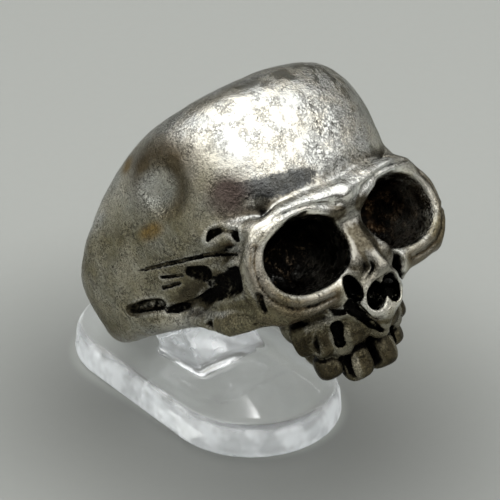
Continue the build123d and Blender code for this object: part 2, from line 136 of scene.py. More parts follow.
# Graver's marks that are too fine for the part's source, with the opening between the nostrils and wider
# gaps between the teeth, in the same columns
marks = [
    ("thin line",        0.05, (11.65, -5.8, 0.62, 0.02), (11.5, -4.7, 0.44, 0.12), (11.1, -2.2, 0.05, 0.20),
     (10.8, 0.4, -0.33, 0.20), (10.35, 2.2, -0.66, 0.20), (9.75, 3.6, -1.1, 0.22), (9.8, 5.8, -1.65, 0.22)),
    ("upper scratch",    0.05, (11.0, -3.9, -0.75, 0.17), (10.5, -1.9, -1.33, 0.16)),
    ("lower scratch",    0.05, (11.0, -4.5, -1.62, 0.18), (10.4, -2.8, -1.85, 0.16)),
    ("hollow tail",      0.15, (10.9, -5.5, -3.55, 0.26), (10.5, -4.8, -3.75, 0.44), (10.1, -3.8, -3.9, 0.36),
     (9.85, -2.4, -3.85, 0.24), (10.05, -0.6, -3.8, 0.26), (10.3, 0.9, -3.7, 0.3)),
    ("brow crease",      0.25, (9.45, 8.2, -0.83, 0.02), (8.45, 8.6, -0.52, 0.12), (7.65, 8.95, -0.42, 0.18),
     (6.85, 9.3, -0.40, 0.18), (5.7, 9.55, -0.41, 0.18), (4.6, 9.65, -0.50, 0.18), (3.4, 9.75, -0.77, 0.16),
     (2.25, 9.65, -1.11, 0.14), (1.45, 9.6, -1.58, 0.08)),
    ("rim valley",       0.40, (9.85, 8.3, -2.1, 0.10), (10.6, 8.15, -3.4, 0.16), (10.85, 8.05, -4.85, 0.18),
     (10.55, 8.1, -6.15, 0.20), (9.6, 8.2, -7.3, 0.22), (8.4, 8.3, -8.05, 0.22), (6.65, 8.4, -8.4, 0.22),
     (4.75, 8.6, -8.4, 0.12)),
    ("nostril's middle", 0.15, (0.0, 10.0, -9.1, 0.50), (0.0, 9.2, -9.7, 0.55)),
    ("long pit",         0.20, (10.5, -0.6, -1.5, 0.58), (10.3, 1.0, -2.1, 0.66)),
    ("crescent",         0.15, (10.5, 3.75, 0.35, 0.18), (10.45, 4.6, 0.7, 0.36), (10.15, 5.6, 0.7, 0.36),
     (9.75, 6.4, 0.1, 0.34), (9.5, 6.4, -0.6, 0.28)),
    ("round pit",        0.15, (11.2, -0.9, -6.1, 0.46), (11.1, -0.4, -6.1, 0.46)),
    ("rim slot",         0.12, (11.05, 7.5, -5.6, 0.34), (10.8, 6.85, -6.8, 0.38)),
    ("cheek dashes",     0.05, (10.6, 4.8, -7.6, 0.14), (10.3, 6.0, -8.1, 0.14)),
    ("slit in the plate", 0.10, (2.6, 6.7, -10.8, 0.18), (3.2, 6.3, -10.9, 0.12)),
    ("incisor gap",      0.10, (0.0, 4.9, -13.2, 0.46), (0.0, 4.3, -16.6, 0.34)),
    ("side gap",         0.10, (2.75, 3.8, -13.0, 0.48), (2.75, 3.2, -15.6, 0.46)),
    ("canine gap",       0.10, (3.55, 5.6, -10.8, 0.46), (3.55, 5.1, -12.1, 0.48)),
]
# Lines that only colour the metal: a painted dark reflection over the brow, grimy along the side, painted
# shade round the eye rim, and the two blackest pits
trough = ((8.0, 7.2, 3.0, 0.2), (6.4, 8.2, 2.3, 0.45), (4.8, 8.7, 1.95, 0.50), (3.2, 9.0, 1.75, 0.40),
          (1.4, 9.1, 1.7, 0.2))
grime = ((10.2, 2.0, -3.1, 0.5), (10.1, -0.5, -2.9, 0.4), (10.3, -3.0, -3.3, 0.3), (10.9, -5.0, -3.3, 0.1),
         (11.6, -7.2, -2.4, 0.5), (12.0, -8.8, -2.2, 0.3))
valley = ((9.85, 8.3, -2.1, 0.1), (10.6, 8.15, -3.4, 0.2), (10.85, 8.05, -4.85, 0.3),
          (10.55, 8.1, -6.15, 0.3), (9.6, 8.2, -7.3, 0.3), (8.4, 8.3, -8.05, 0.3), (6.65, 8.4, -8.4, 0.3),
          (4.75, 8.6, -8.4, 0.2))
black_pits = (((10.15, -1.05, -1.4, 0.3), (9.95, -0.45, -1.9, 0.3), (9.95, 0.5, -2.45, 0.3)),
              ((10.25, 1.5, -3.1, 0.5), (9.8, 2.5, -3.15, 0.5), (9.7, 3.8, -3.25, 0.5),
               (9.9, 3.6, -4.25, 0.5), (10.15, 1.75, -4.2, 0.5)))
# Oval patches of colour: middle (across, out, up) and half sizes
# The temple dent's painted highlight on its floor, and painted shade on its wall
dent_highlight_patch = (10.8, 0.5, 5.9), (2.6, 3.0, 2.4)
dent_shade_patch = (10.4, 1.7, 7.1), (3.4, 6.0, 5.0)
# Patches on one side alone: across is below 0 on the skull's right
gold_stain = (-11.8, -1.5, 3.1), (1.5, 2.6, 1.0)
upper_stain = (-10.4, -2.4, 9.2), (1.2, 1.6, 1.2)
brow_tarnish = (-8.9, 6.5, 2.9), (2.6, 2.6, 2.6)
crown_freckles = (3.2, 9.3, 4.0), (5.5, 4.0, 6.5)
# Hollows: name, middle (across, out, up), half sizes, turn about up, tip, lean in the face, blend
dent = ("temple dent", (12.6, 1.9, 6.4), (2.4, 4.2, 3.5), -12, 18, 0, 0.4)
nostril = ("nostril", (0.92, 9.0, -9.8), (1.0, 3.2, 1.25), 0, 0, -20, 0.2)
nose_pit = ("nose pit", (2.6, 8.4, -8.4), (0.72, 2.0, 1.25), 30, 0, 8, 0.2)
spine = ((0.0, 8.0, -10.3, 0.20), (0.0, 8.2, -11.4, 0.40))
# Eye: cup behind the rim, the rim's own line, and the socket
eye_middle, eye_turn, eye_tip = (5.4, 7.9, -4.4), 4, 2
cup_middle, cup_half = (5.4, 5.0, -4.4), (5.5, 3.9, 4.0)
rim_half, rim_tube, rim_thinner, rim_wide = (4.85, 3.50), 0.70, 0.16, 1.30
socket_middle, socket_half, socket_turn = (5.25, 7.1, -4.25), (4.25, 5.0, 3.1), 14


def smooth_union(a, b, blend):
    h = np.maximum(blend - np.abs(a - b), 0.0) / blend
    return np.minimum(a, b) - h * h * blend / 4


def smooth_cut(a, b, blend):
    return -smooth_union(-a, b, blend)


def seen_from(q, middle, yaw=0.0, tip=0.0, roll=0.0):
    """Cells seen from a middle and turned: yaw swings the outer side back, tip leans the top out, roll turns
    in the face."""
    v = q - np.array(middle, float)
    for angle, i, j in ((yaw, 0, 1), (tip, 1, 2), (roll, 0, 2)):
        if angle:
            c, s = math.cos(math.radians(angle)), math.sin(math.radians(angle))
            a, b = v[:, i].copy(), v[:, j].copy()
            v[:, i], v[:, j] = c * a - s * b, s * a + c * b
    return v


def egg(v, half, square=2.0):
    half = np.array(half, float)
    w = np.abs(v / half)
    k = (w ** square).sum(1) ** (1 / square) + 1e-9
    slope = (w ** (square - 1)) / half / k[:, None] ** (square - 1)
    return (k - 1) / (np.sqrt((slope ** 2).sum(1)) + 1e-9)


def strand(q, points):
    """Distance to the rod that runs through points of (across, out, up, radius)."""
    d = None
    for p0, p1 in zip(points, points[1:]):
        a, b = np.array(p0[:3], float), np.array(p1[:3], float)
        t = np.clip(((q - a) @ (b - a)) / ((b - a) @ (b - a)), 0, 1)
        e = np.sqrt(((q - a - t[:, None] * (b - a)) ** 2).sum(1)) - (p0[3] + (p1[3] - p0[3]) * t)
        d = e if d is None else np.minimum(d, e)
    return d


def rim_line(v, half, square=rim_square):
    """Distance to an oval line that stands in the face."""
    w, t = np.abs(v[:, 0]) / half[0], np.abs(v[:, 2]) / half[1]
    k = (w ** square + t ** square) ** (1 / square) + 1e-9
    gx = w ** (square - 1) / half[0] / k ** (square - 1)
    gz = t ** (square - 1) / half[1] / k ** (square - 1)
    return np.sqrt(((k - 1) / np.sqrt(gx * gx + gz * gz + 1e-12) / rim_wide) ** 2 + v[:, 1] ** 2)


def height_along(out, heights):
    """Smooth line through the edge heights."""
    at, heights = np.array(edge_out), np.array(heights)
    step = np.diff(at)
    slope = np.diff(heights) / step
    t = np.concatenate([[slope[0]], (slope[1:] + slope[:-1]) / 2, [slope[-1]]])
    i = np.clip(np.searchsorted(at, out) - 1, 0, len(at) - 2)
    s = np.clip((out - at[i]) / step[i], 0, 1)
    return (heights[i] * (2 * s**3 - 3 * s**2 + 1) + t[i] * step[i] * (s**3 - 2 * s**2 + s)
            + heights[i + 1] * (3 * s**2 - 2 * s**3) + t[i + 1] * step[i] * (s**3 - s**2))


def worked(d, q, middle, reach, blend, shape, cut=False):
    """Adds a shape to the metal or cuts it away, only at the points that it can change."""
    away = np.sqrt(((q - np.array(middle)) ** 2).sum(1)) - reach
    here = np.where(away < (blend - d if cut else d + blend))[0]
    if len(here):
        join = smooth_cut if cut else smooth_union
        d[here] = join(d[here], shape(q[here]), blend)
    return d


def worked_strand(d, q, blend, points, cut=False):
    middle = np.mean([p[:3] for p in points], axis=0)
    reach = max(math.dist(p[:3], middle) + p[3] for p in points)
    return worked(d, q, middle, reach, blend, lambda v: strand(v, points), cut)


def worked_egg(d, q, blend, middle, half, yaw=0, tip=0, roll=0, square=2.0, cut=False):
    reach = math.hypot(*half) if square > 2 else max(half)
    return worked(d, q, middle, reach, blend,
                  lambda v: egg(seen_from(v, middle, yaw, tip, roll), half, square), cut)


def ring_metal(P, carved=True):
    """Distance to the ring's surface at points in the ring's own frame, negative inside."""
    x, y, z = P[:, 0], P[:, 1], P[:, 2]
    q = np.stack([np.abs(x) / across_cell, (-y - bore_radius) / out_cell, z / up_cell], 1)
    from_bore = np.hypot(x, y)
    d = from_bore - bore_radius - band_wall + band_barrel * (z - band_crest * up_cell) ** 2
    for name, middle, half, square, yaw, blend in masses:
        d = worked_egg(d, q, blend, middle, half, yaw, square=square)
    d = smooth_cut(d, -(q[:, 2] - height_along(q[:, 1], edge_top)) * edge_steepness, edge_round)
    d = smooth_cut(d, -(height_along(q[:, 1], edge_low) - q[:, 2]) * edge_steepness, low_edge_round)
    for name, middle, half, square, yaw, blend in features:
        d = worked_egg(d, q, blend, middle, half, yaw, square=square)
    name, middle, half, yaw, tip, roll, blend = dent
    d = worked_egg(d, q, blend, middle, half, yaw, tip, roll, cut=True)
    for name, blend, *points in ridges:
        d = worked_strand(d, q, blend, points)
    for name, middle, half, yaw, roll in teeth:
        d = worked_egg(d, q, tooth_blend, middle, half, yaw, 0, roll, square=tooth_square)
    d = worked_egg(d, q, cup_blend, cup_middle, cup_half, square=cup_square)

    def eye_rim(v):
        v = seen_from(v, eye_middle, eye_turn, eye_tip)
        return rim_line(v, rim_half) - rim_tube + rim_thinner * np.clip(v[:, 2] / rim_half[1], -1, 1)
    d = worked(d, q, eye_middle, math.hypot(*rim_half) + rim_tube * rim_wide, rim_blend, eye_rim)
    if not carved:
        return d
    name, middle, half, yaw, tip, roll, blend = nostril
    d = worked_egg(d, q, blend, middle, half, yaw, tip, roll, cut=True)
    d = worked_strand(d, q, spine_blend, spine)
    name, middle, half, yaw, tip, roll, blend = nose_pit
    d = worked_egg(d, q, blend, middle, half, yaw, tip, roll, cut=True)
    for name, blend, *points in cuts + marks:
        d = worked_strand(d, q, blend, points, cut=True)
    d = worked_egg(d, q, socket_blend, socket_middle, socket_half, socket_turn, square=socket_square,
                   cut=True)
    return smooth_cut(d, from_bore - bore_radius, bore_blend)


def rounded_box(v, half, corner):
    over = np.abs(v) - (np.array(half) - corner)
    return np.sqrt((np.maximum(over, 0) ** 2).sum(1)) + np.minimum(over.max(1), 0) - corner


def leant(P):
    """Points of the ring's frame on the stand, in the part's frame."""
    c, s = math.cos(math.radians(lean)), math.sin(math.radians(lean))
    y, z = P[:, 1] * c + P[:, 2] * s, -P[:, 1] * s + P[:, 2] * c
    return np.stack([P[:, 0] + ring_aside, y - ring_ahead, z + ring_height], 1)


def upright(P):
    """Points of the part's frame in the ring's own frame."""
    c, s = math.cos(math.radians(lean)), math.sin(math.radians(lean))
    y, z = P[:, 1] + ring_ahead, P[:, 2] - ring_height
    return np.stack([P[:, 0] - ring_aside, y * c - z * s, y * s + z * c], 1)


def stand_plastic(P):
    """Distance to the stand's surface at points in the part's frame."""
    run = (base_length - base_width) / 2
    c, s = math.cos(math.radians(base_turn)), math.sin(math.radians(base_turn))
    draft = math.radians(base_draft)
    across = np.hypot(P[:, 0] * c - P[:, 1] * s, np.maximum(np.abs(P[:, 0] * s + P[:, 1] * c) - run, 0))
    side = (across - base_width / 2 + P[:, 2] * math.tan(draft)) * math.cos(draft)
    foot = -smooth_union(-side, -(P[:, 2] - base_height), foot_round)
    foot = -smooth_union(-foot, P[:, 2], foot_low_round)
    r = upright(P)
    from_axis = np.hypot(r[:, 0], r[:, 1])
    clip_radius, top = bore_radius - clip_gap, clip_low + clip_height
    level = np.abs(r[:, 2] - clip_low - clip_height / 2) - clip_height / 2
    wall = np.abs(from_axis - clip_radius + clip_wall / 2) - clip_wall / 2
    clip = smooth_cut(wall, -level, clip_round)
    clip = smooth_cut(clip, np.maximum(np.abs(r[:, 0]) - clip_slot / 2, r[:, 1]), clip_round)
    reach = 2 * ring_height
    neck = rounded_box(r - np.array([0, clip_radius - neck_depth / 2, top - reach / 2]),
                       (neck_width / 2, neck_depth / 2, reach / 2), neck_corner)
    neck = smooth_cut(neck, clip_radius - from_axis, neck_round)
    neck = np.maximum(neck, neck_low - P[:, 2])
    return smooth_union(smooth_union(foot, neck, neck_to_foot), clip, clip_to_neck)


def grid_near(shape, low, counts, cell):
    """Values on a grid, worked out only in blocks near the surface. Elsewhere they keep the block's sign."""
    blocks = [-(-n // block) for n in counts]
    middles = [(np.arange(n) * block + block / 2) * cell + l for n, l in zip(blocks, low)]
    coarse = shape(np.stack(np.meshgrid(*middles, indexing="ij"), -1).reshape(-1, 3))
    near = np.where(np.abs(coarse) < block * cell * 1.6)[0]     # past a block's corner, with room to spare
    size = [n * block + 1 for n in blocks]
    values = np.repeat(np.repeat(np.repeat(np.sign(coarse).reshape(blocks), block, 0), block, 1), block, 2)
    values = np.pad(values, [(0, 1)] * 3, mode="edge")
    first = np.stack(np.unravel_index(near, blocks), 1) * block
    steps = np.stack(np.meshgrid(*[np.arange(block + 1)] * 3, indexing="ij"), -1).reshape(-1, 3)
    corners = (first[:, None] + steps).reshape(-1, 3)
    flat = np.unique(np.ravel_multi_index(tuple(corners.T), size))
    at = np.stack(np.unravel_index(flat, size), 1) * cell + np.array(low)
    values.ravel()[flat] = shape(at)
    return values


def settled(values):
    """Fills corners where metal meets only across a diagonal, so that the skin never touches itself."""
    most_rounds, just_inside = 8, -1e-3
    for _ in range(most_rounds):
        inside, turned = values < 0, 0
        for b, c in ((1, 2), (2, 0), (0, 1)):
            def at(i, j):
                part = [slice(None)] * 3
                part[b], part[c] = slice(i, values.shape[b] - 1 + i), slice(j, values.shape[c] - 1 + j)
                return tuple(part)
            for i in (0, 1):
                one, two, gap, other = at(0, i), at(1, 1 - i), at(0, 1 - i), at(1, i)
                touch = inside[one] & inside[two] & ~inside[gap] & ~inside[other]
                values[gap][touch] = just_inside
                turned += touch.sum()
        if not turned:
            break
    return values


def slope_at(shape, P, step=0.02):
    sides = [shape(P + way * step) - shape(P - way * step) for way in np.eye(3)]
    return np.stack(sides, 1) / (2 * step)


def skinned(shape, values, low, cell):
    """Quads over the surface in a grid of values, with each corner pulled onto the surface."""
    inside = values < 0
    n = np.array(values.shape)
    corners = [(a, b, c) for a in (0, 1) for b in (0, 1) for c in (0, 1)]
    count = sum(inside[a:n[0] - 1 + a, b:n[1] - 1 + b, c:n[2] - 1 + c].astype(np.int8) for a, b, c in corners)
    active = (count > 0) & (count < 8)
    number = np.full(active.shape, -1)
    number[active] = np.arange(active.sum())
    cells = np.argwhere(active)
    total, weight = np.zeros((len(cells), 3)), np.zeros(len(cells))
    for a in range(3):
        for b in (0, 1):
            for c in (0, 1):
                start = np.zeros(3, int)
                start[[(a + 1) % 3, (a + 2) % 3]] = b, c
                end = start.copy()
                end[a] = 1
                v0 = values[tuple((cells + start).T)]
                v1 = values[tuple((cells + end).T)]
                crossed = (v0 < 0) != (v1 < 0)
                t = np.where(crossed, v0 / np.where(crossed, v0 - v1, 1), 0)
                total += crossed[:, None] * (cells + start + t[:, None] * (end - start))
                weight += crossed
    points = total / weight[:, None] * cell + np.array(low)
    middles = points.copy()
    pulls, farthest, least_steep = 2, 0.75 * cell, 0.2
    for _ in range(pulls):
        slope = slope_at(shape, points)
        steep = np.maximum((slope ** 2).sum(1), least_steep)
        points = points - slope * (shape(points) / steep)[:, None]
        points = middles + np.clip(points - middles, -farthest, farthest)
    quads = []
    for a in range(3):
        b, c = (a + 1) % 3, (a + 2) % 3
        edge = [slice(0, m) for m in n]
        edge[a] = slice(0, n[a] - 1)
        ahead = [slice(0, m) for m in n]
        ahead[a] = slice(1, n[a])
        one, two = inside[tuple(edge)], inside[tuple(ahead)]
        at = np.argwhere(one != two)
        at = at[(at[:, b] > 0) & (at[:, c] > 0) & (at[:, b] < n[b] - 1) & (at[:, c] < n[c] - 1)]
        eb, ec = np.eye(3, dtype=int)[b], np.eye(3, dtype=int)[c]
        around = [number[tuple((at - s).T)] for s in (0 * eb, eb, eb + ec, ec)]
        faces = np.stack(around, 1)
        out = one[tuple(at.T)]
        faces[~out] = faces[~out][:, ::-1]
        quads.append(faces)
    return points, np.concatenate(quads)


def mesh_object(name, points, faces):
    mesh = bpy.data.meshes.new(name)
    mesh.from_pydata((points * MM).tolist(), [], faces.tolist())
    mesh.validate()
    obj = bpy.data.objects.new(name, mesh)
    bpy.context.scene.collection.objects.link(obj)
    return obj


def lightened(obj, faces):
    """Takes the mesh down to a number of triangles, fewest where it is flattest."""
    triangles = sum(len(p.vertices) - 2 for p in obj.data.polygons)
    if triangles > faces:
        modifier = obj.modifiers.new("lighter", "DECIMATE")
        modifier.ratio = faces / triangles
        lighter = bpy.data.meshes.new_from_object(obj.evaluated_get(bpy.context.evaluated_depsgraph_get()))
        obj.modifiers.clear()
        obj.data = lighter
    obj.data.shade_smooth()


def value_noise(P, size, seed):
    """Smooth noise from -1 to 1 on a lattice of that size."""
    side = 32
    lattice = np.random.default_rng(seed).random((side, side, side)) * 2 - 1
    g = P / size
    i = np.floor(g).astype(int)
    f = g - i
    f = f * f * (3 - 2 * f)
    total = 0
    for a in (0, 1):
        for b in (0, 1):
            for c in (0, 1):
                w = np.abs(1 - a - f[:, 0]) * np.abs(1 - b - f[:, 1]) * np.abs(1 - c - f[:, 2])
                total = total + w * lattice[(i[:, 0] + a) % side, (i[:, 1] + b) % side, (i[:, 2] + c) % side]
    return total


def vertex_points(obj):
    P = np.zeros(len(obj.data.vertices) * 3)
    obj.data.vertices.foreach_get("co", P)
    return P.reshape(-1, 3) / MM


def keep_value(obj, name, values):
    """Stores a number for each vertex, for a material to read."""
    attribute = obj.data.attributes.new(name, "FLOAT", "POINT")
    attribute.data.foreach_set("value", np.ascontiguousarray(values, np.float32))


def soft(v, low, high):
    """0 at low, 1 at high, smooth between."""
    t = np.clip((v - low) / (high - low), 0, 1)
    return t * t * (3 - 2 * t)


def patch(q, middle, half):
    """1 in the middle of an oval patch, 0 outside it."""
    return soft(np.sqrt((((q - np.array(middle)) / np.array(half)) ** 2).sum(1)), 1.0, 0.3)


def coloured_places(P, q, normal):
    """Where the metal is black, tooth coloured, dull, stained or freckled, and where light and shade are
    painted on it, from 0 to 1 at each vertex.
    """
    across, out, up = q.T
    one_side = np.stack([P[:, 0] / across_cell, out, up], 1)
    carved_away = -ring_metal(P, carved=False)
    in_bore = soft(np.hypot(P[:, 0], P[:, 1]) - bore_radius, 0.5, 0.1)
    in_socket = soft(egg(seen_from(q, socket_middle, socket_turn), socket_half, socket_square), 0.6, 0.2)
    tilt = math.radians(lean)
    level = normal[:, 2] * math.cos(tilt) - normal[:, 1] * math.sin(tilt)
    lit = soft(level, 0.1, 0.8)
    hollowed = soft(carved_away, 0.06, 0.36) * (1 - in_bore) * (1 - in_socket)
    band_groove = soft(out, -5.2, -6.0)
    pits = soft(np.minimum(*(strand(q, pit) for pit in black_pits)), 0.35, -0.05)
    # Grey on socket walls that face the skull's right, and a painted highlight on the socket floor where it
    # faces up
    side_wall = soft(-normal[:, 0], 0.45, 0.9) * soft(out, 5.0, 7.5)
    lit_socket_floor = 0.6 * lit * soft(out, 3.0, 5.0)
    return {
        "soot": np.maximum(hollowed * (1 - 0.4 * band_groove), pits),
        # less tar where the socket faces up, a painted highlight
        "socket": in_socket * soft(carved_away, 0.1, 1.3) * (1 - in_bore) * (1 - 0.45 * lit),
        "inner": in_socket,
        "far_socket": in_socket * soft(P[:, 0], -1.0, 1.0),
        "wall": in_socket * np.maximum(side_wall, lit_socket_floor),
        # painted dark reflection between the eyes
        "bridge": soft(across, 3.2, 2.2) * soft(up, -1.2, -2.2) * soft(up, -9.2, -8.0) * soft(out, 6.0, 7.0),
        # painted shade round the eye rim
        "valley": soft(strand(q, valley), 0.9, 0.1),
        "face": soft(out, 5.5, 7.0),
        # painted shade on the face where it looks down
        "under": soft(-level, -0.1, 0.6) * soft(out, 4.0, 6.0),
        # painted dark reflection over the brow, on the skull's right side only
        "trough": soft(strand(q, trough), 0.9, 0.0) * soft(P[:, 0], -0.5, -2.5),
        "grime": soft(strand(q, grime), 0.9, 0.0),
        "tooth": soft(up, -9.4, -10.8) * soft(out, 8.8, 7.0),
        "flank": soft(across, 6.5, 10.0) * soft(up, 9.5, 3.5) + soft(up, -4.5, -8.0),
        "stain": np.maximum(patch(one_side, *gold_stain), 0.8 * patch(one_side, *upper_stain)),
        # painted highlight on the temple dent's floor, and painted shade on its wall
        "dent": patch(q, *dent_highlight_patch),
        "dent_edge": patch(q, *dent_shade_patch),
        "tarnish": patch(one_side, *brow_tarnish),
        "freckled": patch(one_side, *crown_freckles),
    }


def cast_ring():
    """The whole casting, worked out in the ring's frame and then leant."""
    cell = ring_cell * 1.0
    half = math.ceil(ring_high[0] / cell / block) * block
    low = np.array([0.0, *ring_low[1:]])
    counts = [half] + [math.ceil((ring_high[i] - ring_low[i]) / cell) for i in (1, 2)]
    right = grid_near(ring_metal, low, counts, cell)
    values = settled(np.concatenate([right[:0:-1], right]))
    low[0] = -(right.shape[0] - 1) * cell
    points, faces = skinned(ring_metal, values, low, cell)
    ring = mesh_object("skull_ring_silver", points, faces)
    lightened(ring, ring_faces)
    P = vertex_points(ring)
    normal = slope_at(ring_metal, P)
    normal /= np.sqrt((normal ** 2).sum(1))[:, None] + 1e-9
    shelter, worn = np.zeros(len(P)), np.zeros(len(P))
    for reach, share in shelter_reach:
        shelter += share * np.clip(1 - ring_metal(P + normal * reach) / reach, 0, 1.4)
    for reach in wear_reach:
        worn += np.clip(1 + ring_metal(P - normal * reach) / reach, 0, 1) / len(wear_reach)
    q = np.stack([np.abs(P[:, 0]) / across_cell, (-P[:, 1] - bore_radius) / out_cell, P[:, 2] / up_cell], 1)
    for name, values in {"shelter": shelter, "worn": worn, **coloured_places(P, q, normal)}.items():
        keep_value(ring, name, values)
    outside = np.hypot(P[:, 0], P[:, 1]) > bore_radius + 0.1
    wave = sum(height * value_noise(P, size, seed) for height, size, seed in surface_waves)
    P = P + normal * (wave * outside)[:, None]
    ring.data.vertices.foreach_set("co", (leant(P) * MM).ravel())
    ring.data.update()
    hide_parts("skull_ring")
    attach(ring, "root")
    return ring


def clear_stand():
    """Foot, neck and split clip, moulded in one."""
    cell = stand_cell * 1.0
    low = np.array(stand_low)
    counts = [math.ceil((h - l) / cell) for l, h in zip(stand_low, stand_high)]
    values = grid_near(stand_plastic, low, counts, cell)
    points, faces = skinned(stand_plastic, values, low, cell)
    stand = mesh_object("display_stand_clear", points, faces)
    lightened(stand, stand_faces)
    P = vertex_points(stand)
    upright_face = soft(np.abs(slope_at(stand_plastic, P)[:, 2]), 0.75, 0.35)
    above_foot = P[:, 2] - base_height
    foot_wall = upright_face * soft(above_foot, 0.4, -0.3)
    # Where the acrylic turns milky and takes its painted glow: the foot's wall, and less of it up the neck
    keep_value(stand, "wall", np.maximum(foot_wall, 0.45 * soft(above_foot, 0.2, 1.2)))
    stand.visible_shadow = False        # light goes through it onto the floor
    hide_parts("display_stand")
    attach(stand, "root")
    return stand


class Value:
    """A socket that takes arithmetic. Each operation on it adds a Math node."""
    def __init__(self, made, socket):
        self.made, self.socket = made, socket

    def _math(self, operation, *others):
        return self.made.node("ShaderNodeMath", {"operation": operation},
                              dict(enumerate((self, *others))))

    def __add__(self, other): return self._math("ADD", other)
    def __radd__(self, other): return self + other
    def __sub__(self, other): return self._math("SUBTRACT", other)
    def __rsub__(self, other): return (self * -1) + other
    def __mul__(self, other): return self._math("MULTIPLY", other)
    def __rmul__(self, other): return self * other
    def __pow__(self, other): return self._math("POWER", other)
    def __abs__(self): return self._math("ABSOLUTE")

    def above(self, least): return self._math("MAXIMUM", least)

    def clipped(self):
        return self.made.node("ShaderNodeClamp", {}, {"Value": self})

    def over(self, low, high):
        """0 at low, 1 at high, smooth between."""
        return self.made.node("ShaderNodeMapRange", {"interpolation_type": "SMOOTHSTEP"},
                              {"Value": self, "From Min": low, "From Max": high})


class Finish:
    """A material and its nodes, or the nodes of a tree that is there already."""
    def __init__(self, name, tree=None):
        if tree is None:
            self.material = bpy.data.materials.new(name)
            self.material.use_nodes = True
            tree = self.material.node_tree
            self.shader = tree.nodes["Principled BSDF"]
        self.tree = tree

    def node(self, kind, settings=None, inputs=None, output=0):
        made = self.tree.nodes.new(kind)
        for key, value in (settings or {}).items():
            setattr(made, key, value)
        for key, value in (inputs or {}).items():
            if isinstance(value, Value):
                self.tree.links.new(value.socket, made.inputs[key])
            elif value is not None:
                made.inputs[key].default_value = value
        return Value(self, made.outputs[output])

    def place(self):
        """Places on the object, in metres."""
        return self.node("ShaderNodeTexCoord", output=3)

    def read(self, name):
        """A number kept at the vertices."""
        return self.node("ShaderNodeAttribute", {"attribute_name": name}, output=2)

    def noise(self, size, detail=3.0, rough=0.55):
        """Noise from 0 to 1 whose grains are about that many millimetres."""
        return self.node("ShaderNodeTexNoise", {}, {"Vector": self.place(), "Scale": 1 / (size * MM),
                                                    "Detail": detail, "Roughness": rough})

    def spots(self, size):
        """Distance to the nearest of scattered points, in grains of that many millimetres."""
        return self.node("ShaderNodeTexVoronoi", {}, {"Vector": self.place(), "Scale": 1 / (size * MM)})

    def bump(self, height, depth):
        """Normals for a height whose full scale is that many millimetres."""
        return self.node("ShaderNodeBump", {}, {"Strength": 1.0, "Distance": depth * MM, "Height": height})

    def mix(self, share, one, two):
        """Colour from one to two."""
        def socketed(colour):
            return colour if isinstance(colour, Value) else (*colour, 1.0)
        return self.node("ShaderNodeMix", {"data_type": "RGBA"},
                         {0: share, 6: socketed(one), 7: socketed(two)}, output=2)

    def feed(self, **inputs):
        for key, value in inputs.items():
            socket = self.shader.inputs[key.replace("_", " ")]
            if isinstance(value, Value):
                self.tree.links.new(value.socket, socket)
            else:
                socket.default_value = value


# Colours of the silver: bright, drab and filmed metal, then the painted places, some of them painted shade,
# reflections and highlights, then the tar in the recesses
cold_silver, warm_silver = (0.80, 0.805, 0.765), (0.90, 0.86, 0.745)
drab_yellow, drab_olive = (0.335, 0.295, 0.18), (0.275, 0.25, 0.16)
# The brown is painted shade, under the face and round the eye rim
film_grey, shade_brown = (0.085, 0.070, 0.045), (0.105, 0.066, 0.036)
tooth_dark, tooth_pale = (0.036, 0.028, 0.014), (0.10, 0.082, 0.047)
# Painted dark reflection between the eyes
bridge_reflection_dark, bridge_reflection_pale = (0.075, 0.063, 0.042), (0.15, 0.133, 0.095)
# Painted shade and a painted highlight in the temple dent, then the gold stain
dent_shade_brown, dent_highlight, stain_gold = (0.17, 0.135, 0.085), (0.50, 0.52, 0.50), (0.36, 0.22, 0.05)
# A painted dark reflection over the brow and painted shade round the eye rim, then tarnish
trough_reflection_grey, rim_shade_brown, tarnish_plum = (0.085, 0.090, 0.093), (0.105, 0.080, 0.048), (0.15, 0.115, 0.10)
crackle_black, tar_black = (0.045, 0.040, 0.030), (0.005, 0.0045, 0.004)
# The grey also paints a highlight on the up-facing socket floor
tar_glint, tar_brown, tar_grey_and_highlight = (0.30, 0.22, 0.14), (0.075, 0.040, 0.018), (0.30, 0.28, 0.235)
# Colours of the floor, and the black of the shadow painted round the foot
board_pale, board_grey, black = (0.445, 0.458, 0.435), (0.40, 0.415, 0.39), (0.0, 0.0, 0.0)


